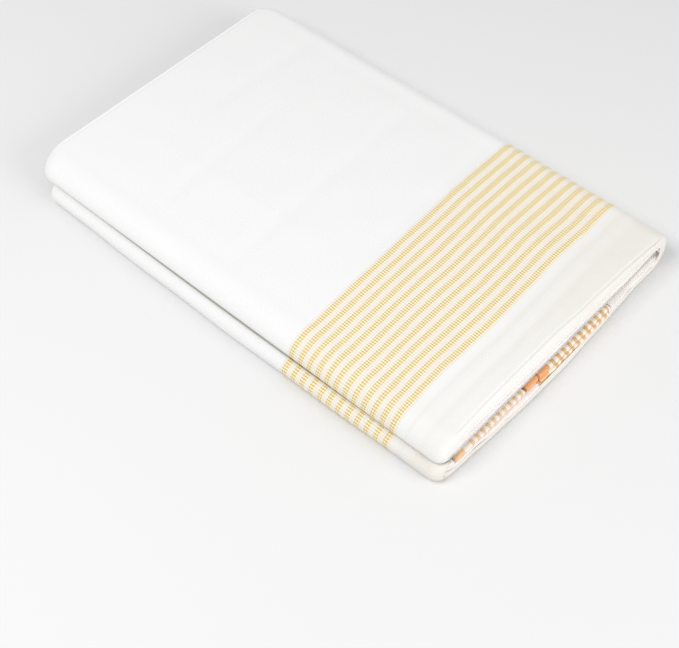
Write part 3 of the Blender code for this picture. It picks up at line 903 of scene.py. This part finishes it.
def ply_faces(station):
    """The outer face and the slit's face at one station, from the near to the far end."""
    turn = half_turn(station)
    rows = [("near", row) for row in PLY_ROWS] + [("middle", 0.0)]
    rows += [("far", row) for row in reversed(PLY_ROWS)]
    outer, slit = [], []
    for end, row in rows:
        distance = row + ply_setback(station)
        outer.append(ply_point(station, 1.0, end, distance))
        if end == "near":
            outer[-1].y += near_shift(outer[-1].x, outer[-1].z, turn, distance)
        point = ply_point(station, 0.0, end, distance)
        if is_recessed(point.x, turn, 0.0):
            point.y = max(point.y, Y_NEAR + RECESS_DEPTH + RECESS_CLEAR)
        slit.append(point)
    return outer, slit


def make_plies():
    """One closed form of all plies, built from a ring of points at each station."""
    rings = []
    for station in ply_stations():
        outer, slit = ply_faces(station)
        rings.append(lip_points(station, "near") + outer + lip_points(station, "far")[::-1] + slit[::-1])
    size = len(rings[0])
    faces = []
    for row in range(len(rings) - 1):
        for index in range(size):
            following = (index + 1) % size
            a, b = row * size + index, row * size + following
            faces.append((a, b, b + size, a + size))
    faces.append(tuple(range(size))[::-1])
    faces.append(tuple(range((len(rings) - 1) * size, len(rings) * size)))
    return add_mesh("inner_plies", [point for ring in rings for point in ring], faces)


# Painted light: the plies' tones are lighter than the leaf's white, to offset the shade on their set-back
# ends.
LIGHTENED_PLY_WHITE = (0.91, 0.88, 0.865)
LIGHTENED_PLY_PINK = (0.88, 0.80, 0.76)
PINK_PATCHES = {"scale": 90.0, "detail": 3.0, "low": 0.35, "high": 0.7}


def ply_material():
    """The plies' white cotton, pinker in soft patches, and painted lighter than the leaf's white to offset
    the shade on their set-back ends.
    """
    material, tree, shader = cotton_material("ply_cotton")
    x, _, z = split(tree, tree.nodes.new("ShaderNodeTexCoord").outputs["Object"])
    weave = add_group(tree, WEAVE, Round=x, Along=z)
    colour = mix_colour(tree, patches(tree, PINK_PATCHES, most=0.7), LIGHTENED_PLY_WHITE, LIGHTENED_PLY_PINK)
    tree.links.new(colour, shader.inputs["Base Color"])
    add_bump(tree, shader, weave.outputs["Height"], strength=0.35, distance=0.0001)
    return material


plies = make_plies()
plies.data.materials.append(ply_material())
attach(plies, "root")
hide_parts("hidden_plies")

# The border folds: the cloth's selvedge, woven with a solid orange edge and a row of narrow orange and white
# stripes. Where it comes to the near end it is folded back on itself into a thin round lip, so the stripes
# show as a row of dashes. Each fold is tucked in among the plies, and its two ends are pinched flat.
FOLD_WALL = 0.0009
FOLD_LEG = 0.00065
FOLD_BULB = 0.00115
FOLD_BULB_LENGTH = 0.0050
BULB_WIDEST = 0.4
LEG_STEPS = 9
BEND_TURN = 15
PINCH_REACH = 0.0011
PINCH_BACK = 0.0007
PINCH_HEIGHT = 0.25
BORDER_PITCH = 0.0005
# Where each fold's solid edge and its dashes lie along it, how far it stands back, and its two tones
BORDER_FOLDS = (
    {
        "node": "border_fold_left", "back": 0.0,
        "solid": (-0.1000, -0.0830), "dashes": (-0.0786, -0.0322), "pitch": 0.0046,
        "solid_tone": (0.86, 0.57, 0.33), "dash_tone": (0.78, 0.53, 0.34),
    },
    {
        "node": "border_fold_right", "back": 0.0,
        "solid": (-0.0330, -0.0098), "dashes": (-0.0085, 0.0452), "pitch": 0.0051,
        "solid_tone": (0.85, 0.42, 0.19), "dash_tone": (0.70, 0.43, 0.20),
    },
    {
        "node": "border_fold_under", "back": 0.0001,
        "solid": (-0.0230, -0.0110), "dashes": (-0.0065, 0.0440), "pitch": 0.0051,
        "solid_tone": (0.88, 0.54, 0.25), "dash_tone": (0.70, 0.43, 0.20),
    },
)
BORDER_CREASES = ({"place": -0.0308, "width": 0.0006}, {"place": -0.0195, "width": 0.0010})
CREASE_DEPTH = 0.0007
# How strongly shade is painted brown along the creases
CREASE_SHADE_STRENGTH = 0.9
BORDER_WAVES = ((0.00012, 210, 0), (0.00010, 510, 1))
BROWN = (0.42, 0.17, 0.07)
DASH_WHITE = (0.88, 0.80, 0.70)
THREAD_PATCHES = {"scale": 700.0, "detail": 2.0, "low": 0.3, "high": 0.6}
DASH_EDGE = {"outside": 0.28, "inside": 0.22}
BORDER_THREAD = 0.0008


def fold_profile(depth):
    """A folded ply seen from its end: (depth, height) points of its outer and inner face."""
    centre = []
    for place in np.linspace(depth, BULB_WIDEST * FOLD_BULB_LENGTH, LEG_STEPS + 1):
        swelling = smooth((FOLD_BULB_LENGTH - place) / ((1 - BULB_WIDEST) * FOLD_BULB_LENGTH))
        centre.append(Vector((place, mix(FOLD_LEG, FOLD_BULB, swelling))))
    front = FOLD_WALL / 2 + FOLD_BULB
    for degrees in range(0, 91, BEND_TURN):
        angle = radians(degrees)
        centre.append(Vector((front - FOLD_BULB * sin(angle), FOLD_BULB * cos(angle))))
    centre += [Vector((point.x, -point.y)) for point in reversed(centre[:-1])]
    outside, inside = [], []
    for index, point in enumerate(centre):
        ahead, behind = centre[min(index + 1, len(centre) - 1)], centre[max(index - 1, 0)]
        tangent = (ahead - behind).normalized()
        normal = Vector((-tangent.y, tangent.x)) * (-FOLD_WALL / 2)
        outside.append(point + normal)
        inside.append(point - normal)
    return outside, inside


def make_border_fold(border):
    """One fold of the border, a hairpin of one ply with its ends pinched."""
    low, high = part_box(border["node"])
    profiles = fold_profile(high.y - low.y)
    z_middle = (low.z + high.z) / 2
    steps = ceil((high.x - low.x) / BORDER_PITCH)
    points = []
    for profile in profiles:
        for share in shares(steps):
            x = mix(low.x, high.x, share)
            wave = waves(x, BORDER_WAVES)
            for crease in BORDER_CREASES:
                wave += CREASE_DEPTH * exp(-((x - crease["place"]) / crease["width"]) ** 2)
            open_share = quarter_ellipse(min(x - low.x, high.x - x) / PINCH_REACH)
            height = mix(PINCH_HEIGHT, 1.0, open_share)
            back = low.y + wave + PINCH_BACK * (1 - open_share) + border["back"]
            points += [(x, back + point.x, z_middle + point.y * height + wave * 0.5) for point in profile]
    return add_mesh(border["node"] + "_cloth", points, shell_faces(steps + 1, len(profiles[0])))


def stretch(tree, value, ends):
    """A mask of the stretch between two ends."""
    after = math_node(tree, "GREATER_THAN", value, ends[0])
    before = math_node(tree, "LESS_THAN", value, ends[1])
    return math_node(tree, "MULTIPLY", after, before)


def border_material(border):
    """Orange and white woven border: the solid edge first, and then the narrow stripes, with shade painted
    brown along its creases.
    """
    material, tree, shader = cotton_material(border["node"] + "_cotton")
    x, y, _ = split(tree, tree.nodes.new("ShaderNodeTexCoord").outputs["Object"])
    from_first = math_node(tree, "SUBTRACT", x, border["dashes"][0])
    pitches = math_node(tree, "DIVIDE", from_first, border["pitch"])
    from_centre = away_from(tree, math_node(tree, "FRACT", pitches), 0.5)
    dash = ramp(tree, from_centre, DASH_EDGE["outside"], DASH_EDGE["inside"])
    dash = math_node(tree, "MULTIPLY", dash, stretch(tree, x, border["dashes"]))
    shade = patches(tree, THREAD_PATCHES, least=0.8)
    dashes = mix_colour(tree, math_node(tree, "MULTIPLY", dash, shade), DASH_WHITE, border["dash_tone"])
    solid = mix_colour(tree, shade, BROWN, border["solid_tone"])
    # Painted shade: brown lines along the creases of the solid edge.
    for crease in BORDER_CREASES:
        distance = away_from(tree, x, crease["place"])
        painted_crease_shade = ramp(tree, distance, crease["width"], crease["width"] / 2, 0.0, CREASE_SHADE_STRENGTH)
        solid = mix_colour(tree, painted_crease_shade, solid, BROWN)
    colour = mix_colour(tree, stretch(tree, x, border["solid"]), dashes, solid)
    tree.links.new(colour, shader.inputs["Base Color"])
    weave = add_group(tree, WEAVE, Round=x, Along=y)
    for pitch in WEAVE_PITCHES:
        weave.inputs[pitch].default_value = BORDER_THREAD
    add_bump(tree, shader, weave.outputs["Height"], strength=0.4, distance=0.0001)
    return material


for border in BORDER_FOLDS:
    piece = make_border_fold(border)
    piece.data.materials.append(border_material(border))
    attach(piece, "root")
    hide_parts(border["node"])

# The studio: a pale matt floor under an even white surround, with one soft light high on the left and another
# low before the near end. The camera looks down at the near left corner, at the photograph's own angle.
FLOOR_SIZE = 6.0
FLOOR_BELOW = 0.0001
FLOOR_TONE = (0.79, 0.79, 0.79, 1.0)
SOFTBOXES = (
    {"name": "left", "place": (-0.62, 0.20, 1.0), "size": 0.6, "power": 7.0},
    {"name": "front", "place": (0.15, -1.2, 0.50), "size": 0.8, "power": 7.6},
)
SURROUND_TONE = (1.0, 1.0, 1.0, 1.0)
SURROUND_STRENGTH = 0.565
CAMERA_PLACE = Vector((-0.3980, -0.3706, 0.5880))
CAMERA_FORWARD = Vector((0.4522, 0.4272, -0.7830))
CAMERA_UP = Vector((0.5852, 0.5205, 0.6219))
CAMERA_LENS = 69.7
SENSOR_WIDTH = 36.0


def make_floor():
    """A wide flat floor, just below the cloth."""
    half = FLOOR_SIZE / 2
    corners = [(-half, -half, 0.0), (half, -half, 0.0), (half, half, 0.0), (-half, half, 0.0)]
    floor = add_mesh("floor", corners, [(0, 1, 2, 3)])
    floor.location.z = -FLOOR_BELOW
    material = bpy.data.materials.new("pale_floor")
    material.use_nodes = True
    shader = material.node_tree.nodes["Principled BSDF"]
    shader.inputs["Base Color"].default_value = FLOOR_TONE
    shader.inputs["Roughness"].default_value = 0.9
    shader.inputs["Specular IOR Level"].default_value = 0.1
    floor.data.materials.append(material)


def add_softbox(softbox):
    """A square soft light that faces the cloth."""
    light = bpy.data.lights.new(softbox["name"], "AREA")
    light.shape = "SQUARE"
    light.size = softbox["size"]
    light.energy = softbox["power"]
    lamp = bpy.data.objects.new(softbox["name"], light)
    lamp.location = softbox["place"]
    lamp.rotation_euler = (-Vector(softbox["place"])).to_track_quat("-Z", "Y").to_euler()
    bpy.context.scene.collection.objects.link(lamp)


def make_surround():
    """Even white light from all round."""
    world = bpy.data.worlds.new("studio")
    bpy.context.scene.world = world
    world.use_nodes = True
    background = world.node_tree.nodes["Background"]
    background.inputs["Color"].default_value = SURROUND_TONE
    background.inputs["Strength"].default_value = SURROUND_STRENGTH


def make_camera():
    """The camera at the photograph's viewing angle."""
    data = bpy.data.cameras.new("camera")
    data.sensor_width = SENSOR_WIDTH
    data.lens = CAMERA_LENS
    camera = bpy.data.objects.new("camera", data)
    right = CAMERA_FORWARD.cross(CAMERA_UP).normalized()
    back = -CAMERA_FORWARD.normalized()
    upward = back.cross(right)
    turn = Matrix((right, upward, back)).transposed().to_4x4()
    camera.matrix_world = Matrix.Translation(CAMERA_PLACE) @ turn
    bpy.context.scene.collection.objects.link(camera)
    bpy.context.scene.camera = camera


make_floor()
for softbox in SOFTBOXES:
    add_softbox(softbox)
make_surround()
bpy.context.scene.view_settings.view_transform = "Standard"
make_camera()
